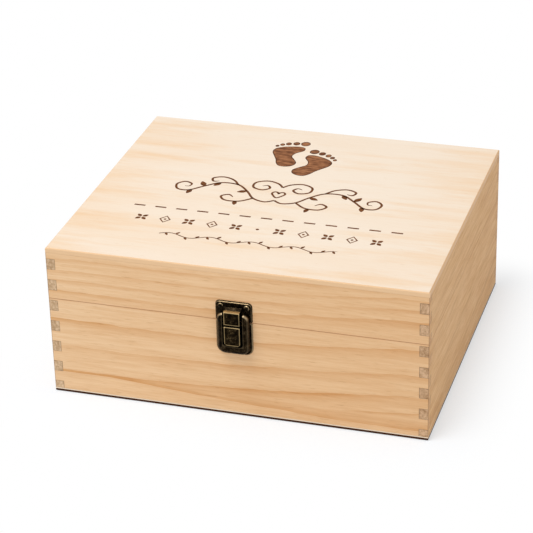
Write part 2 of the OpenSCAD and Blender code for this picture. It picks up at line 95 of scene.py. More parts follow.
class Tree:
    """One material's nodes, with short calls for those that repeat."""

    def __init__(self, name):
        self.material = bpy.data.materials.new(name)
        self.material.use_nodes = True
        self.tree = self.material.node_tree
        self.tree.nodes.clear()
        self.shader = self.node("BsdfPrincipled")
        self.feed(self.node("OutputMaterial").inputs[0], self.shader.outputs[0])
        place = self.node("TexCoord")
        self.at = self.split(place.outputs["Object"])
        self.facing = self.split(place.outputs["Normal"])

    def node(self, kind):
        return self.tree.nodes.new("ShaderNode" + kind)

    def feed(self, socket, value):
        if isinstance(value, bpy.types.NodeSocket):
            self.tree.links.new(value, socket)
        else:
            socket.default_value = value

    def split(self, vector):
        """A vector's three parts, by the names of the axes."""
        node = self.node("SeparateXYZ")
        self.feed(node.inputs[0], vector)
        return dict(zip("XYZ", node.outputs))

    def vector(self, x, y, z):
        node = self.node("CombineXYZ")
        for socket, value in zip(node.inputs, (x, y, z)):
            self.feed(socket, value)
        return node.outputs[0]

    def math(self, operation, a, b=0.0, c=0.0, clamp=False):
        node = self.node("Math")
        node.operation = operation
        node.use_clamp = clamp
        for socket, value in zip(node.inputs, (a, b, c)):
            self.feed(socket, value)
        return node.outputs[0]

    def add(self, a, b, clamp=False):
        return self.math("ADD", a, b, clamp=clamp)

    def sub(self, a, b):
        return self.math("SUBTRACT", a, b)

    def mul(self, a, b):
        return self.math("MULTIPLY", a, b)

    def mul_add(self, a, b, c):
        return self.math("MULTIPLY_ADD", a, b, c)

    def abs(self, a):
        return self.math("ABSOLUTE", a)

    def remap(self, value, low, high, to_low=0.0, to_high=1.0):
        node = self.node("MapRange")
        for socket, v in zip(node.inputs, (value, low, high, to_low, to_high)):
            self.feed(socket, v)
        return node.outputs[0]

    def noise(self, vector, detail=2.0, roughness=0.5):
        node = self.node("TexNoise")
        self.feed(node.inputs["Vector"], vector)
        node.inputs["Scale"].default_value = 1.0
        node.inputs["Detail"].default_value = detail
        node.inputs["Roughness"].default_value = roughness
        return node.outputs[0]

    def stretched(self, scale, detail=2.0, roughness=0.5, shift=0.0):
        """Noise over the object's place, with a frequency per metre for each axis."""
        place = [self.mul_add(self.at[axis], s, shift) for axis, s in zip("XYZ", scale)]
        return self.noise(self.vector(*place), detail, roughness)

    def texture(self, axes, look, shift=0.0):
        """Noise drawn out along the first axis, by its long and wide frequency and its detail."""
        long, wide, detail, roughness = look
        scale = {axes[0]: long, axes[1]: wide, axes[2]: wide}
        return self.stretched([scale[axis] for axis in "XYZ"], detail, roughness, shift)

    def ramp(self, value, stops, easing="LINEAR"):
        """Grey ramp through (place, share) stops."""
        node = self.node("ValToRGB")
        node.color_ramp.interpolation = easing
        elements = node.color_ramp.elements
        while len(elements) < len(stops):
            elements.new(0.5)
        for element, (place, share) in zip(elements, stops):
            element.position = place
            element.color = (share, share, share, 1.0)
        self.feed(node.inputs[0], value)
        return node.outputs[0]

    def mix(self, factor, a, b, blend="MIX"):
        node = self.node("Mix")
        node.data_type = "RGBA"
        node.blend_type = blend
        # sockets 6 and 7 are the two colours
        for k, value in ((0, factor), (6, a), (7, b)):
            self.feed(node.inputs[k], value)
        return node.outputs[2]

    def tinted(self, colour, tint, strength=1.0):
        """Colour times a tint, whose distance from white is scaled by the strength."""
        tint = (*(1.0 - (1.0 - c) * strength for c in tint), 1.0)
        return self.mix(1.0, colour, tint, "MULTIPLY")

    def bump(self, height, distance, strength):
        node = self.node("Bump")
        node.inputs["Distance"].default_value = distance
        node.inputs["Strength"].default_value = strength
        self.feed(node.inputs["Height"], height)
        self.feed(self.shader.inputs["Normal"], node.outputs[0])

    def finish(self, colour, roughness, metallic=0.0, specular=0.5):
        self.feed(self.shader.inputs["Base Color"], colour)
        self.feed(self.shader.inputs["Roughness"], roughness)
        self.shader.inputs["Metallic"].default_value = metallic
        self.shader.inputs["Specular IOR Level"].default_value = specular
        return self.material


# ---- solid wood ----

# one growth ring outwards: pale early wood, slowly darker, then a sharp end
RING_PROFILE = ((0.0, 0.45), (0.04, 0.05), (0.3, 0.0), (0.58, 0.1), (0.82, 0.38), (0.94, 0.7),
    (1.0, 1.0))
# distances from the heart line that the rings cover, and a ring's sharp end as a share of them
RING_LOW, RING_HIGH = -0.03, 0.17
RING_STEP = 0.0012
FRONT_RINGS = [r * MM for r in (-20, 1.8, 23, 44.5, 69, 78, 86.5, 96, 108, 124, 145)]
SIDE_RINGS = [r * MM for r in (-20, -9, 2.4, 30, 59, 74, 87, 112, 150)]

# where along a board its rings start to open like a fan, and how the fan widens
FAN_FROM = -0.1
FAN_POWER = 1.3
# how far the rings are rounded off at the heart line, and how they drift across with the depth
HEART_ROUND = 0.6 * MM
DEPTH_DRIFT = 0.25
# frequency per metre along and across, detail and roughness of what unsettles the rings
SLOW_UNREST = (7.0, 22.0, 3.0, 0.45)
ROUGH_UNREST = (60.0, 160.0, 2.0, 0.5)
ROUGH_REACH = 0.6 * MM

# a single dark line: waves per metre, depth of its soft side, and how slowly it starts
VEIN_WAVES = 40.0
VEIN_SOFT = 5.0 * MM
VEIN_START = 25.0 * MM

# textures: frequency per metre along the grain and across it, detail, roughness
CLOUD = (6.0, 26.0, 3.0, 0.5)
FIBRE = (45.0, 1100.0, 3.0, 0.6)
STREAK = (22.0, 420.0, 3.0, 0.7)
PORE = (80.0, 1000.0, 1.0, 0.5)
CLOUD_TINT = (0.96, 0.93, 0.88)
FIBRE_TINT = (0.935, 0.895, 0.845)
STREAK_TINT = (0.945, 0.9, 0.845)
PORE_TINT = (0.78, 0.70, 0.60)
# tint of the painted shade towards the right
RIGHT_SHADE_TINT = (0.95, 0.9, 0.84)

# painted shade inside the saw cut between base and lid
SAW_CUT_SHADE = "#a55a26"
FINGER_EDGE = "#6e5238"
# painted shade down the upright arrises
ARRIS_SHADE = "#80552f"
# end grain: frequency per metre of its specks and patches, angular frequency of its arcs
END_SPECK = 620.0
END_PATCH = 150.0
END_ARCS = 2100.0


@dataclass
class Board:
    """One board's wood.

    The axes are the grain's way, the way across the face, and the depth behind it.
    """

    name: str
    axes: str
    face: float  # place of the face along the depth
    rings: list  # borders of the growth rings, outwards from the heart line
    early: str  # pale and dark wood of a ring
    late: str
    heart: float = 0.019  # the heart line's height where the fan starts
    sway: tuple = (-9.3 * MM, 11.9 * MM)  # its rise along the board, linear and squared
    spread: float = 0.013  # how far the fan opens
    fan_to: float = 0.125
    waver: float = 1.1 * MM  # how unsteady the rings are
    seed: float = 0.0
    end_early: str = "#debf9a"  # end grain, pale and dark
    end_late: str = "#ad8962"
    contrast: float = 1.0
    painted_shade_span: float = 0.0  # half the length over which painted shade darkens the wood to the right
    coarse: float = 1.0  # strength of clouds, fibres and streaks
    veins: tuple = ()  # start and end of single dark lines


def grain(t, board, along, across, depth):
    """Ring share, and distance from the heart, of a flat-sawn board whose rings open like a fan."""

    def unrest(look, reach):
        long, wide, detail, roughness = look
        place = t.vector(t.mul(along, long), t.mul(across, wide), t.mul_add(depth, wide, board.seed))
        return t.remap(t.noise(place, detail, roughness), 0.25, 0.75, -reach, reach)

    run = t.remap(along, FAN_FROM, board.fan_to)
    # rings far from the heart open less
    fan = t.mul(t.math("POWER", run, FAN_POWER), t.remap(across, 0.03, 0.06, 1.0, 0.55))
    bow = t.mul(run, t.mul_add(run, board.sway[1], board.sway[0]))
    off = t.sub(across, t.add(bow, board.heart))
    off = t.mul_add(depth, DEPTH_DRIFT, off)
    stir = t.add(unrest(SLOW_UNREST, board.waver), unrest(ROUGH_UNREST, ROUGH_REACH))
    # steadier near the heart, so that its lines don't break
    stir = t.mul(stir, t.remap(t.abs(off), 0.0, 15.0 * MM, 0.35, 1.0))
    q = t.math("SQRT", t.mul_add(off, off, HEART_ROUND ** 2))
    q = t.add(t.sub(q, t.mul(fan, board.spread)), stir)

    stops = []
    for start, end in zip(board.rings, board.rings[1:]):
        stops.append(((start - RING_LOW) / (RING_HIGH - RING_LOW), 0.0))
        stops.append(((end - RING_LOW) / (RING_HIGH - RING_LOW) - RING_STEP, 1.0))
    return t.ramp(t.remap(q, RING_LOW, RING_HIGH), stops), q


def vein(t, along, across, start, end, seed):
    """Single dark line rising along the board, soft on its lower side."""
    line = t.remap(along, start[0], end[0], start[1], end[1])
    stir = t.noise(t.vector(t.mul(along, VEIN_WAVES), seed, 0.0))
    below = t.sub(t.add(line, t.remap(stir, 0.3, 0.7, -0.5 * MM, 0.5 * MM)), across)
    edge = t.remap(below, -0.15 * MM, 0.3 * MM)
    soft = t.math("POWER", t.remap(below, VEIN_SOFT, 0.0), 2.2)
    return t.mul(t.mul(edge, soft), t.remap(along, start[0], start[0] + VEIN_START))


def end_grain(t, board, across, depth):
    """Greyer and mottled, with faint arcs, and dark at each finger's edge."""
    speck = t.stretched((END_SPECK,) * 3, 4.0, 0.7, board.seed)
    patch = t.stretched((END_PATCH,) * 3, 2.0, 0.5, board.seed + 1.0)
    arcs = t.math("SINE", t.mul(t.add(t.mul(across, 0.4), depth), END_ARCS))
    mottle = t.add(t.remap(speck, 0.34, 0.68), t.mul(arcs, 0.09))
    mottle = t.add(mottle, t.remap(patch, 0.35, 0.65, -0.24, 0.24), clamp=True)
    colour = t.mix(mottle, srgb(board.end_early), srgb(board.end_late))
    step = t.math("FRACT", t.math("DIVIDE", t.sub(t.at["Z"], COMB_LOW), FINGER))
    border = t.remap(t.mul(t.abs(t.sub(step, 0.5)), 2.0), 0.88, 0.98)
    inner = t.remap(depth, BOARD_T - 0.6 * MM, BOARD_T - 0.1 * MM)
    return t.mix(t.mul(t.math("MAXIMUM", border, inner), 0.5), colour, srgb(FINGER_EDGE))


def pine(board):
    """Planed pine with growth rings, and end grain where it is cut square."""
    t = Tree(board.name)
    along, across, depth = (t.at[axis] for axis in board.axes)
    depth = t.abs(t.sub(depth, board.face))

    # rings, stronger in some places than in others
    share, q = grain(t, board, along, across, depth)
    strong = t.noise(t.vector(t.mul(along, 9.0), t.mul(across, 38.0), board.seed))
    strong = t.remap(strong, 0.35, 0.62, 0.4 * board.contrast, 0.85 * board.contrast)
    dark = t.mul(t.ramp(share, RING_PROFILE, "EASE"), strong)
    dark = t.mul(dark, t.remap(q, 12.0 * MM, 3.0 * MM, 1.0, 1.4))
    for start, end in board.veins:
        line = vein(t, along, across, start, end, board.seed)
        dark = t.math("MAXIMUM", dark, t.mul(line, 0.9))
    colour = t.mix(dark, srgb(board.early), srgb(board.late))
    # painted shade: the wood darkens towards the right, away from the lamp
    if board.painted_shade_span:
        share = t.remap(along, -board.painted_shade_span, board.painted_shade_span)
        colour = t.mix(share, colour, t.tinted(colour, RIGHT_SHADE_TINT))

    # cloudy tint, fine fibres, streaks and short dark pores, all long the way the grain runs
    cloud = t.texture(board.axes, CLOUD, board.seed)
    fibre = t.texture(board.axes, FIBRE, board.seed)
    streak = t.texture(board.axes, STREAK, board.seed)
    pore = t.remap(t.texture(board.axes, PORE, board.seed), 0.63, 0.74)
    for share, tint in (
        (t.remap(cloud, 0.3, 0.75, 0.0, 0.6), CLOUD_TINT),
        (t.remap(fibre, 0.35, 0.7), FIBRE_TINT),
        (t.remap(streak, 0.42, 0.66), STREAK_TINT),
    ):
        colour = t.mix(share, colour, t.tinted(colour, tint, board.coarse))
    colour = t.mix(t.mul(pore, 0.65), colour, t.tinted(colour, PORE_TINT))

    # painted shade: both boards are darker at the saw cut between base and lid, as the shade inside
    # the gap
    cut = t.abs(t.sub(t.at["Z"], SEAM_Z + SEAM_GAP / 2))
    colour = t.mix(t.remap(cut, 0.6 * MM, 0.2 * MM, 0.0, 0.4), colour, srgb(SAW_CUT_SHADE))

    square = t.remap(t.abs(t.facing[board.axes[0]]), 0.6, 0.8)
    colour = t.mix(square, colour, end_grain(t, board, across, depth))

    # painted shade: thin brown line down the box's four upright arrises
    aside = t.sub(SIDE_X, t.abs(t.at["X"]))
    before = t.sub(HALF_DEPTH, t.abs(t.at["Y"]))
    arris_shade = t.remap(t.math("MAXIMUM", aside, before), 0.6 * MM, 0.25 * MM, 0.0, 0.55)
    colour = t.mix(arris_shade, colour, srgb(ARRIS_SHADE))

    t.bump(t.add(fibre, t.mul(pore, -0.6)), 0.05 * MM, 0.35)
    return t.finish(colour, t.remap(fibre, 0.3, 0.7, 0.5, 0.62), specular=0.3)


# ---- veneered sheets ----

# textures as for solid wood: frequency along and across, detail, roughness
VENEER_CLOUD = (4.0, 15.0, 3.0, 0.5)
VENEER_WISP = (9.0, 75.0, 5.0, 0.68)
VENEER_FIBRE = (60.0, 1200.0, 3.0, 0.6)
VENEER_SPOT = (150.0, 1500.0, 1.0, 0.5)
VENEER_FIBRE_TINT = (0.97, 0.945, 0.915)
END_TINT = (0.95, 0.88, 0.79)
PLY_TINT = (0.9, 0.84, 0.76)
# angular frequency, per metre, of the plies through the sheet
PLIES = 4200.0
SPOT = "#c99a66"
# painted shade: dark brown standing in for the shade where the box meets the floor
CONTACT_SHADE = "#3f1f0a"
# how high the painted contact shade reaches up the bottom sheet's edge
CONTACT_SHADE_Z = 2.0 * MM


def veneer(name, pale, fleck, edge, contact_shade_edge=False):
    """Sanded veneer with faint clouds and flecks along X; its edge shows the sheet's plies."""
    t = Tree(name)

    # wisps are denser and warmer towards the two ends of the sheet
    ends = t.remap(t.abs(t.at["X"]), 0.06, 0.145)
    cloud = t.remap(t.texture("XYZ", VENEER_CLOUD), 0.45, 0.72)
    wisp = t.add(t.texture("XYZ", VENEER_WISP, 3.0), t.mul(ends, 0.07))
    warm = t.add(t.mul(cloud, 0.35), t.remap(wisp, 0.5, 0.78, 0.0, 0.7))
    warm = t.add(warm, t.mul(ends, 0.1), clamp=True)
    colour = t.mix(warm, srgb(pale), srgb(fleck))
    fibre = t.texture("XYZ", VENEER_FIBRE)
    fine = t.remap(fibre, 0.35, 0.7, 0.0, 0.5)
    colour = t.mix(fine, colour, t.tinted(colour, VENEER_FIBRE_TINT))
    spot = t.remap(t.texture("XYZ", VENEER_SPOT, 5.0), 0.7, 0.8, 0.0, 0.35)
    colour = t.mix(spot, colour, srgb(SPOT))

    # the edge, darker at the sheet's two ends
    side = t.remap(t.abs(t.facing["Z"]), 0.95, 0.75)
    end = t.remap(t.abs(t.facing["X"]), 0.5, 0.8)
    bare = t.mix(end, srgb(edge), t.tinted(srgb(edge), END_TINT))
    ply = t.remap(t.math("SINE", t.mul(t.at["Z"], PLIES)), -1.0, 1.0, 0.0, 0.3)
    colour = t.mix(side, colour, t.mix(ply, bare, t.tinted(bare, PLY_TINT)))
    # painted shade: the bottom sheet's lowest edge is painted dark brown, as the shade along the floor
    if contact_shade_edge:
        low = t.remap(t.at["Z"], CONTACT_SHADE_Z + 0.3 * MM, CONTACT_SHADE_Z)
        colour = t.mix(low, colour, srgb(CONTACT_SHADE))
    t.bump(fibre, 0.03 * MM, 0.25)
    return t.finish(colour, t.remap(fibre, 0.3, 0.7, 0.45, 0.55), specular=0.05 if contact_shade_edge else 0.3)


# ---- metal ----

# antique bronze: patina, its lighter patches, and brass where it is rubbed and where highlights are
# painted
DARK, MID, WORN_AND_HIGHLIGHT = "#0c0805", "#261b0c", "#d6b985"
HOLLOW = "#060503"
# frequency per metre of the patina's patches and of the cast grain
PATINA = 260.0
CAST_GRAIN = 1500.0


def bronze(name, dark, mid, wear_and_highlight, rubbed_and_highlit, hollow=None, roughness=0.34):
    """Near-black patina, brassy where it is rubbed and where highlights are painted, and black in its
    hollows.
    """
    t = Tree(name)
    patch = t.stretched((PATINA,) * 3, 4.0, 0.6)
    fine = t.stretched((CAST_GRAIN,) * 3, 3.0, 0.7)
    colour = t.mix(t.remap(patch, 0.36, 0.66), srgb(dark), srgb(mid))
    speckle = t.mul(t.remap(fine, 0.5, 0.7), t.remap(patch, 0.45, 0.7, 0.0, 0.35))
    # the worn colour is both rubbed brass and painted highlight
    rub_and_highlight = t.mul(rubbed_and_highlit(t), t.remap(patch, 0.3, 0.6, 0.6, 1.0))
    rub_and_highlight = t.math("MAXIMUM", rub_and_highlight, speckle)
    colour = t.mix(rub_and_highlight, colour, srgb(wear_and_highlight))
    if hollow:
        colour = t.mix(hollow(t), colour, srgb(HOLLOW))
    t.bump(fine, 0.03 * MM, 0.4)
    rough = t.sub(t.remap(fine, 0.3, 0.7, roughness, roughness + 0.14), t.mul(rub_and_highlight, 0.06))
    return t.finish(colour, rough, metallic=1.0)


def out_by(t, low, high):
    """0 to 1 as a place stands out from the front board, between two distances."""
    return t.remap(t.at["Y"], FRONT_Y - low, FRONT_Y - high)


def tilted(t, low, high):
    """1 where the surface leans away from the front to a cosine below low, 0 above high."""
    return t.remap(t.abs(t.facing["Y"]), high, low)


def tongue_wear_and_highlight(t):
    """Worn outer part of the border round each panel, with a painted highlight along the panels' tops
    and on the hook's lip.
    """
    z = t.at["Z"]
    aside = t.sub(TONGUE_X, t.abs(t.at["X"]))
    edges = []
    for low, high in ((HOOK_LOW_Z, HOOK_Z), (TONGUE_LOW_Z, THUMB_TOP_Z)):
        off = t.abs(t.sub(z, (low + high) / 2))
        edges.append(t.math("MINIMUM", aside, t.sub((high - low) / 2, off)))
    border = t.remap(t.math("MAXIMUM", *edges), 0.68 * MM, 0.48 * MM)
    border = t.mul(border, out_by(t, TONGUE_OUT - 0.3 * MM, TONGUE_OUT - 0.15 * MM))
    # painted highlight: the border is brightest along the panels' tops
    crown_highlights = [
        t.mul(t.remap(z, top - 1.1 * MM, top - 0.8 * MM), t.remap(z, top + 0.1 * MM, top))
        for top in (HOOK_Z, THUMB_TOP_Z)
    ]
    border = t.mul(border, t.mul_add(t.math("MAXIMUM", *crown_highlights), 0.6, 0.4))
    # painted highlight on the hook's top, where it is also worn
    lip_wear_and_highlight = t.remap(z, HOOK_Z - 0.1 * MM, HOOK_Z + 0.1 * MM, 0.0, 0.75)
    return t.math("MAXIMUM", border, lip_wear_and_highlight)


def tongue_hollow(t):
    """The tongue's parts that lie behind its two panels, below the lip."""
    behind = out_by(t, TONGUE_OUT - 0.5 * MM, TONGUE_OUT - 0.6 * MM)
    return t.mul(behind, t.remap(t.at["Z"], HOOK_Z, HOOK_Z - 0.3 * MM))


def channel_edge(t):
    """Distance outside the channel's outline, negative within it."""
    aside = t.sub(t.abs(t.at["X"]), CHANNEL_X)
    return t.math("MAXIMUM", aside, t.sub(CHANNEL_LOW_Z, t.at["Z"]))


def rim_wear_and_highlight(t):
    """Worn shoulder of the domed rim and worn edges, with a painted highlight brightest at the tops of
    its arms.
    """
    lean = t.abs(t.facing["Y"])
    shoulder = t.math("MINIMUM", t.remap(lean, 0.9, 0.78), t.remap(lean, 0.3, 0.6, 0.2, 1.0))
    # painted highlight: brighter where the dome faces up
    highlight_up = t.remap(t.facing["Z"], 0.0, 0.5, 0.16, 1.0)
    dome_wear_and_highlight = t.mul(t.mul(shoulder, out_by(t, 2.9 * MM, 3.6 * MM)), highlight_up)
    flange = t.mul(t.mul(tilted(t, 0.85, 0.95), 0.5), out_by(t, 1.5 * MM, 1.2 * MM))
    outermost = t.mul(out_by(t, RIM_OUT - 0.2 * MM, RIM_OUT - 0.1 * MM), 0.12)
    # worn edge line round the channel, also a painted highlight
    lip_wear_and_highlight = t.mul(t.remap(channel_edge(t), 0.6 * MM, 0.25 * MM), outermost)
    return t.math("MAXIMUM", t.math("MAXIMUM", t.mul(dome_wear_and_highlight, 0.75), flange), lip_wear_and_highlight)


def rim_hollow(t):
    """The channel's walls and floor."""
    behind = t.remap(t.at["Y"], FRONT_Y - RIM_OUT + 0.2 * MM, FRONT_Y - RIM_OUT + 0.8 * MM)
    return t.mul(t.remap(channel_edge(t), 0.1 * MM, 0.0), behind)


def catch_wear_and_highlight(t):
    """Worn inner half of the bevel, with a painted highlight brightest along the top."""
    band = t.mul(out_by(t, 0.85 * MM, 0.95 * MM), out_by(t, 1.25 * MM, 1.15 * MM))
    # painted highlight: brighter where the bevel faces up
    highlight_up = t.remap(t.facing["Z"], 0.1, 0.5, 0.4, 0.8)
    return t.mul(t.mul(tilted(t, 0.85, 0.95), band), highlight_up)


# painted highlight: a lighter ring on the outer part of each screw head's dome
def screw_highlight_ring(t):
    return t.mul(tilted(t, 0.66, 0.84), 0.75)


def plain_rub(t):
    return t.mul(tilted(t, 0.4, 0.9), 0.4)


# ---- materials on the nodes ----


def assign(material, *nodes):
    for name in nodes:
        for slot in NODES[name].material_slots:
            slot.material = material


def dress_wood():
    front = Board("pine_front", "XZY", FRONT_Y, FRONT_RINGS, "#efca9f", "#d9a369",
        end_early="#dba871", end_late="#bd8a54", contrast=1.2, painted_shade_span=SIDE_X,
        veins=(((0.075, 0.0162), (0.137, 0.0216)),))
    back = Board("pine_back", "XZY", -FRONT_Y, SIDE_RINGS, "#e6c39a", "#d6ab76", heart=0.047,
        sway=(0.0, -1.2 * MM), spread=-0.006, seed=7.0, end_early="#dba871", end_late="#bd8a54")
    # painted light: the side boards are a more saturated yellow than the front, standing in for warm
    # light bounced into their shade
    left = Board("pine_left", "YZX", -SIDE_X, SIDE_RINGS, "#e3b983", "#c8965f", heart=0.05,
        sway=(0.0, 2.7 * MM), spread=0.0136, fan_to=0.12, waver=3.0 * MM, seed=13.0,
        contrast=0.5, coarse=1.3)
    right = Board("pine_right", "YZX", SIDE_X, SIDE_RINGS, "#e8bb82", "#c99358", heart=0.012,
        sway=(0.0, 2.7 * MM), spread=0.0136, fan_to=0.12, waver=1.5 * MM, seed=3.0,
        end_early="#d6b08a", end_late="#a27b53", contrast=0.5, coarse=2.0,
        veins=(((0.045, 0.0195), (0.123, 0.031)),))
    for side, board in (("front", front), ("back", back), ("left", left), ("right", right)):
        assign(pine(board), f"base_{side}_board", f"lid_{side}_board")
    assign(veneer("pine_top", "#f0e0cd", "#ebc8a0", "#e8c195"), "top_panel")
    assign(veneer("plywood", "#ecd6b8", "#dfc09a", "#f0dcc2", contact_shade_edge=True), "bottom_panel")


def dress_metal():
    tongue = bronze("bronze_tongue", DARK, MID, WORN_AND_HIGHLIGHT, tongue_wear_and_highlight, tongue_hollow)
    rim = bronze("bronze_rim", DARK, MID, "#b9a27e", rim_wear_and_highlight, rim_hollow)
    catch = bronze("bronze_catch", DARK, "#1a130b", "#a48c68", catch_wear_and_highlight)
    screws = bronze("bronze_screws", "#0d0a07", "#1e170f", "#b39c76", screw_highlight_ring)
    hinges = bronze("bronze_hinges", DARK, MID, "#a8874f", plain_rub)
    steel = bronze("spring_steel", "#5c5c58", "#7d7d78", "#9a9a94", plain_rub, roughness=0.3)
    assign(tongue, "latch_tongue")
    assign(rim, "latch_plate", "latch_plate_screws")
    assign(catch, "catch_plate")
    assign(screws, "catch_screws", "hinge_base_screws", "hinge_lid_screws")
    assign(hinges, "latch_pin", "left_hinge_base_leaf", "right_hinge_base_leaf",
        "left_hinge_lid_leaf", "right_hinge_lid_leaf", "left_hinge_pin", "right_hinge_pin")
    assign(steel, "latch_spring")


dress_wood()
dress_metal()

# ---- ornament burnt into the lid, in millimetres ----


def smooth(points, closed=False, steps=8):
    """Points on one smooth curve through the given ones."""
    n = len(points)

    def pick(i):
        return Vector(points[i % n] if closed else points[max(0, min(n - 1, i))])

    out = []
    for i in range(n if closed else n - 1):
        a, b, c, d = (pick(i + k) for k in (-1, 0, 1, 2))
        for k in range(steps):
            u = k / steps
            out.append(0.5 * (2 * b + (c - a) * u + (2 * a - 5 * b + 4 * c - d) * u * u
                + (3 * b - a - 3 * c + d) * u * u * u))
    return out if closed else out + [Vector(points[-1])]


def oval(x, y, rx, ry=None, turn=0.0, count=28):
    ry = ry or rx
    c, s = math.cos(math.radians(turn)), math.sin(math.radians(turn))
    ring = []
    for k in range(count):
        u = 2 * math.pi * k / count
        px, py = rx * math.cos(u), ry * math.sin(u)
        ring.append(Vector((x + px * c - py * s, y + px * s + py * c)))
    return ring


def leaf(x, y, length, width, turn):
    """Pointed leaf from its stem."""
    side = [(0, 0), (0.3, 0.42), (0.62, 0.42), (1, 0), (0.62, -0.42), (0.3, -0.42)]
    c, s = math.cos(math.radians(turn)), math.sin(math.radians(turn))
    return smooth([(x + a * length * c - b * width * s, y + a * length * s + b * width * c)
        for a, b in side], closed=True, steps=4)


def moved(shape, x):
    return [p + Vector((x, 0)) for p in shape]


def mirrored(shapes, x):
    """The shapes and their mirror images about one x."""
    return shapes + [[Vector((2 * x - p.x, p.y)) for p in shape] for shape in shapes]


class Burn:
    """Flat marks on the lid, at one height just above the wood."""

    def __init__(self, name, height):
        self.name, self.z = name, TOP_Z + height * MM
        self.points, self.faces = [], []

    def fill(self, outline, grow=0.0):
        count = len(outline)
        first = len(self.points)
        for k, p in enumerate(outline):
            along = (outline[(k + 1) % count] - outline[k - 1]).normalized()
            q = p + Vector((along.y, -along.x)) * grow
            self.points.append((q.x * MM, q.y * MM, self.z))
        self.faces.append(tuple(range(first, first + count)))

    def stroke(self, line, width, taper=0.0, closed=False):
        """Ribbon of a width along a line, drawn in over the taper at its far end."""
        count = len(line)
        first = len(self.points)
        for k, p in enumerate(line):
            if closed:
                along = line[(k + 1) % count] - line[k - 1]
            else:
                along = line[min(k + 1, count - 1)] - line[max(k - 1, 0)]
            off = Vector((-along.y, along.x)).normalized() * width / 2
            if taper:
                off *= min(1.0, 0.3 + (count - 1 - k) / (taper * count))
            self.points += [(q.x * MM, q.y * MM, self.z) for q in (p + off, p - off)]
        for k in range(count if closed else count - 1):
            a, b = first + 2 * k, first + 2 * ((k + 1) % count)
            self.faces.append((a, a + 1, b + 1, b))

    def lay(self, material):
        mesh = bpy.data.meshes.new(self.name)
        mesh.from_pydata(self.points, [], self.faces)
        for face in mesh.polygons:
            if face.normal.z < 0:
                face.flip()
        mesh.materials.append(material)
        piece = bpy.data.objects.new(self.name, mesh)
        bpy.context.scene.collection.objects.link(piece)
        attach(piece, "lid")


def burnt(name, pale, dark):
    """Wood browned by heat, with its grain still showing."""
    t = Tree(name)
    streak = t.stretched((70.0, 700.0, 0.0), 4.0, 0.65, 2.0)
    patch = t.stretched((160.0, 260.0, 0.0), 2.0, 0.5, 6.0)
    share = t.add(t.remap(streak, 0.34, 0.64), t.remap(patch, 0.35, 0.65, -0.25, 0.25), clamp=True)
    t.bump(streak, 0.05 * MM, 0.5)
    return t.finish(t.mix(share, srgb(pale), srgb(dark)), 0.85, specular=0.1)


# heights of the marks above the wood
LOW_MARK, MARK, HIGH_MARK = 0.01, 0.015, 0.02
LINE = 1.9

# footprint round the middle of its heel: outline, and each toe's place and radii
SOLE = ((-0.3, -6.9), (5.2, -5.2), (7.8, 0), (5.8, 6.5), (3.4, 12.5), (6, 18.5), (11.8, 23.3),
    (12.4, 28.6), (8, 31), (0.5, 31), (-6, 29.8), (-11.2, 26.4), (-12.6, 20.5), (-10.6, 13),
    (-8.6, 6), (-7.8, 0), (-5.4, -5.2))
TOES = ((12.3, 36.8, 3.6, 3.9), (4.9, 37.0, 2.5, 2.9), (-1.4, 36.4, 2.1, 2.5),
    (-6.3, 34.7, 1.7, 2.0), (-10.3, 32.2, 1.3, 1.6))
TOE_TURN = -10
# each foot's heel, lean and side, and how far its rim and its fill go past the outline
FEET = (((-14, 60.4), -10, 1), ((2.4, 47), 19, -1))
RIM_GROW, SOLE_GROW = 0.3, -0.45

DASHES = 13
DASH_FROM, DASH_PITCH, DASH_LENGTH, DASH_Y = -105.5, 16.83, 8.8, -39.5

# one half of the scroll, from its middle outwards
SCROLL_X = -3.5
ARM = ((0, -8), (7, -12), (17, -8), (25, 3), (35, 12.5), (49, 13), (60, 4), (70, -5.5),
    (79, -5), (82, 3), (77, 8.5), (71, 6), (71.5, 1.5), (75, 1))
LOOP = ((0, 15.5), (5, 21.5), (14, 24.5), (22.5, 20), (22.5, 11.5), (15, 8), (9.5, 12),
    (12, 16.5), (16, 15))
TENDRIL = ((35, 12.5), (41, 20), (50, 23.5), (57.5, 20), (56, 14.5), (51.5, 15.5))
LOW_TENDRIL = ((17, -8), (26, -15.5), (37, -16), (42, -10), (37, -6), (32.5, -9.5))
HEART = ((0, -3), (-3.6, 0.8), (-5.2, 4.4), (-3.4, 7), (-0.9, 6.2), (0, 4.2), (0.9, 6.2),
    (3.4, 7), (5.2, 4.4), (3.6, 0.8))
HEART_LINE = 1.7
LEAVES = ((60, 4, 9, 5, 62), (49, 13, 8, 4.6, -58), (25, 3, 8, 4.6, -22),
    (68, -3.8, 8, 4.4, -78), (29, -15.7, 7, 4, -100))

ROW_X, ROW_Y = -1.5, -58.6
ROW_FIRST, ROW_PITCH = 17, 18.6
DIAMOND = ((-3.9, 0), (0, 5.2), (3.9, 0), (0, -5.2))
DIAMOND_LINE, DIAMOND_DOT, MIDDLE_DOT = 1.4, 1.1, 1.3
# a petal's distance from the blossom's middle, its length and its width
PETAL_OFF, PETAL_LENGTH, PETAL_WIDTH = 0.8, 4.9, 3.4

VINE_X, VINE_Y = -71, -82
VINE_STEP, VINE_SWING, VINE_WAVE = 1.15, 2.6, 5.1
VINE_POINTS, VINE_LINE = 120, 1.0
# points from one leaf to the next, and a leaf's length, width and turn
VINE_LEAF_EVERY = 7
VINE_LEAF = (4.4, 2.3, 58)


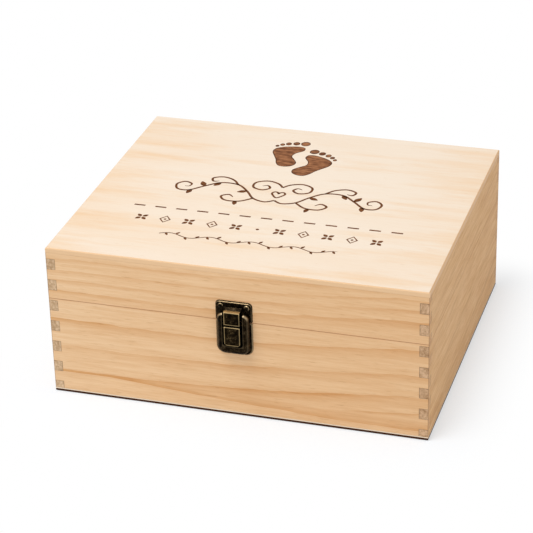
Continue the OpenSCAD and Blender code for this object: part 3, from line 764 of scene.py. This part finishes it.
def foot(heel, lean, side):
    """Outlines of a baby's footprint; side -1 is its mirror image."""
    c, s = math.cos(math.radians(lean)), math.sin(math.radians(lean))

    def place(p):
        x, y = side * p[0], p[1]
        return Vector((heel[0] + x * c + y * s, heel[1] - x * s + y * c))

    shapes = [[place(p) for p in smooth(SOLE, closed=True, steps=5)]]
    for x, y, rx, ry in TOES:
        shapes.append([place(p) for p in oval(x, y, rx, ry, TOE_TURN)])
    # every outline runs the same way round, for fill
    return shapes if side > 0 else [list(reversed(shape)) for shape in shapes]


def lay_footprints(edge, brown):
    rims, soles = Burn("footprint_rims", LOW_MARK), Burn("footprints", HIGH_MARK)
    for heel, lean, side in FEET:
        for shape in foot(heel, lean, side):
            rims.fill(shape, RIM_GROW)
            soles.fill(shape, SOLE_GROW)
    rims.lay(edge)
    soles.lay(brown)


def lay_dashes(line):
    dashes = Burn("dashes", MARK)
    for k in range(DASHES):
        x = DASH_FROM + DASH_PITCH * k
        dashes.stroke([Vector((x, DASH_Y)), Vector((x + DASH_LENGTH, DASH_Y))], LINE)
    dashes.lay(line)


def lay_scroll(line):
    """Two mirrored arms with curled ends, tendrils and leaves, round a small heart."""
    scroll = Burn("scroll", MARK)
    for points, steps in ((ARM, 9), (LOOP, 9), (TENDRIL, 8), (LOW_TENDRIL, 8)):
        half = moved(smooth(points, steps=steps), SCROLL_X)
        for shape in mirrored([half], SCROLL_X):
            scroll.stroke(shape, LINE, 0.25)
    for shape in mirrored([moved(leaf(*numbers), SCROLL_X) for numbers in LEAVES], SCROLL_X):
        scroll.fill(shape)
    scroll.stroke(moved(smooth(HEART, closed=True, steps=6), SCROLL_X), HEART_LINE, closed=True)
    scroll.lay(line)


def lay_row(line):
    """Row of small blossoms and diamonds, with a dot in its middle."""
    row = Burn("blossom_row", MARK)
    for side in (-1, 1):
        for k in range(5):
            x = ROW_X + side * (ROW_FIRST + ROW_PITCH * k)
            if k % 2:
                row.stroke([Vector((x + dx, ROW_Y + dy)) for dx, dy in DIAMOND],
                    DIAMOND_LINE, closed=True)
                row.fill(oval(x, ROW_Y, DIAMOND_DOT))
            else:
                for turn in range(45, 405, 90):
                    dx, dy = (PETAL_OFF * f(math.radians(turn)) for f in (math.cos, math.sin))
                    row.fill(leaf(x + dx, ROW_Y + dy, PETAL_LENGTH, PETAL_WIDTH, turn))
    row.fill(oval(ROW_X, ROW_Y, MIDDLE_DOT))
    row.lay(line)


def lay_vine(line):
    vine = Burn("vine", MARK)
    stem = [Vector((VINE_X + VINE_STEP * k, VINE_Y + VINE_SWING * math.sin(k * VINE_STEP / VINE_WAVE)))
        for k in range(VINE_POINTS)]
    vine.stroke(stem, VINE_LINE, 0.05)
    length, width, turn = VINE_LEAF
    for k in range(4, VINE_POINTS - 2, VINE_LEAF_EVERY):
        side = 1 if (k // VINE_LEAF_EVERY) % 2 else -1
        vine.fill(leaf(stem[k].x, stem[k].y, length, width, side * turn))
    vine.lay(line)


def lay_ornament():
    edge = burnt("burnt_edge", "#5f3720", "#452614")
    brown = burnt("burnt_fill", "#ad7650", "#5e3622")
    line = burnt("burnt_line", "#80502f", "#57331c")
    lay_footprints(edge, brown)
    lay_dashes(line)
    lay_scroll(line)
    lay_row(line)
    lay_vine(line)


lay_ornament()

# ---- studio ----

CAMERA_PLACE = (0.4313, -1.4220, 0.8341)
CAMERA_AZIMUTH = 17.37
CAMERA_DROP = 27.46
CAMERA_ROLL = -1.54
CAMERA_LENS = 144.9
SENSOR = 36.0

WORLD_STRENGTH = 0.62
KEY_PLACE = (-0.75, -0.95, 2.5)
KEY_TARGET = (0, 0, 0.06)
KEY_SIZE = 1.5
KEY_WATTS = 41

# the floor's paint, how white it shows beside the box, and how far its shadow shows
FLOOR_PAINT = (0.89, 0.93, 0.985, 1)
FLOOR_WHITENESS = 0.52
FLOOR_FADE = 0.06
FLOOR_FADE_POWER = 1.6
FLOOR_REACH = 6.0


def add_camera():
    data = bpy.data.cameras.new("camera")
    data.lens = CAMERA_LENS
    data.sensor_width = SENSOR
    camera = bpy.data.objects.new("camera", data)
    bpy.context.scene.collection.objects.link(camera)
    turn = Euler((math.radians(90 - CAMERA_DROP), 0, math.radians(CAMERA_AZIMUTH)))
    roll = Matrix.Rotation(math.radians(CAMERA_ROLL), 4, "Z")
    camera.matrix_world = Matrix.Translation(CAMERA_PLACE) @ turn.to_matrix().to_4x4() @ roll
    bpy.context.scene.camera = camera


def add_key_lamp():
    data = bpy.data.lights.new("key", "AREA")
    data.shape = "DISK"
    data.size = KEY_SIZE
    data.energy = KEY_WATTS
    lamp = bpy.data.objects.new("key", data)
    bpy.context.scene.collection.objects.link(lamp)
    lamp.location = KEY_PLACE
    aim = Vector(KEY_TARGET) - Vector(KEY_PLACE)
    lamp.rotation_euler = aim.to_track_quat("-Z", "Y").to_euler()


def seen_directly(tree):
    """1 where a ray comes from the camera, a reflection or glass."""
    path = tree.nodes.new("ShaderNodeLightPath")
    seen = path.outputs["Is Camera Ray"]
    for kind in ("Is Glossy Ray", "Is Transmission Ray"):
        node = tree.nodes.new("ShaderNodeMath")
        node.operation = "MAXIMUM"
        tree.links.new(seen, node.inputs[0])
        tree.links.new(path.outputs[kind], node.inputs[1])
        seen = node.outputs[0]
    return seen


def range_node(tree, value, *limits):
    """A value moved from one range to another; limits are both ends of each."""
    node = tree.nodes.new("ShaderNodeMapRange")
    tree.links.new(value, node.inputs["Value"])
    for socket, limit in zip(node.inputs[1:5], limits):
        socket.default_value = limit
    return node.outputs[0]


def add_world():
    """White where it is seen, and a plain strength where it lights."""
    world = bpy.data.worlds.new("studio")
    bpy.context.scene.world = world
    world.use_nodes = True
    tree = world.node_tree
    back = tree.nodes["Background"]
    back.inputs["Color"].default_value = (1, 1, 1, 1)
    strength = range_node(tree, seen_directly(tree), 0.0, 1.0, WORLD_STRENGTH, 1.0)
    tree.links.new(strength, back.inputs["Strength"])


def floor_whiteness(tree):
    """Share of the floor's white glow: full further off, and less beside the box, where its shadow
    shows.
    """
    away = tree.nodes.new("ShaderNodeTexCoord").outputs["Object"]
    for operation, operand in (("ABSOLUTE", None), ("SUBTRACT", (SIDE_X, HALF_DEPTH, 0.0)),
            ("MAXIMUM", (0.0, 0.0, 0.0)), ("LENGTH", None)):
        step = tree.nodes.new("ShaderNodeVectorMath")
        step.operation = operation
        tree.links.new(away, step.inputs[0])
        if operand:
            step.inputs[1].default_value = operand
        away = step.outputs["Value" if operation == "LENGTH" else "Vector"]
    near = tree.nodes.new("ShaderNodeMath")
    near.operation = "POWER"
    near.inputs[1].default_value = FLOOR_FADE_POWER
    tree.links.new(range_node(tree, away, FLOOR_FADE, 0.0, 0.0, 1.0), near.inputs[0])
    return range_node(tree, near.outputs[0], 0.0, 1.0, 1.0, FLOOR_WHITENESS)


def add_floor():
    mesh = bpy.data.meshes.new("floor")
    corners = [(x * FLOOR_REACH, y * FLOOR_REACH, 0) for x, y in ((-1, -1), (1, -1), (1, 1), (-1, 1))]
    mesh.from_pydata(corners, [], [(0, 1, 2, 3)])
    floor = bpy.data.objects.new("floor", mesh)
    bpy.context.scene.collection.objects.link(floor)
    material = bpy.data.materials.new("floor")
    material.use_nodes = True
    tree = material.node_tree
    tree.nodes.clear()
    paint = tree.nodes.new("ShaderNodeBsdfDiffuse")
    paint.inputs["Color"].default_value = FLOOR_PAINT
    # painted light: the floor glows white for the camera, fading beside the box so that only the
    # nearby shadow shows
    glow = tree.nodes.new("ShaderNodeEmission")
    share = tree.nodes.new("ShaderNodeMath")
    share.operation = "MULTIPLY"
    mix = tree.nodes.new("ShaderNodeMixShader")
    out = tree.nodes.new("ShaderNodeOutputMaterial")
    for source, socket in (
        (seen_directly(tree), share.inputs[0]),
        (floor_whiteness(tree), share.inputs[1]),
        (share.outputs[0], mix.inputs[0]),
        (paint.outputs[0], mix.inputs[1]),
        (glow.outputs[0], mix.inputs[2]),
        (mix.outputs[0], out.inputs[0]),
    ):
        tree.links.new(source, socket)
    mesh.materials.append(material)


add_camera()
add_world()
add_key_lamp()
add_floor()
bpy.context.scene.view_settings.view_transform = "Standard"
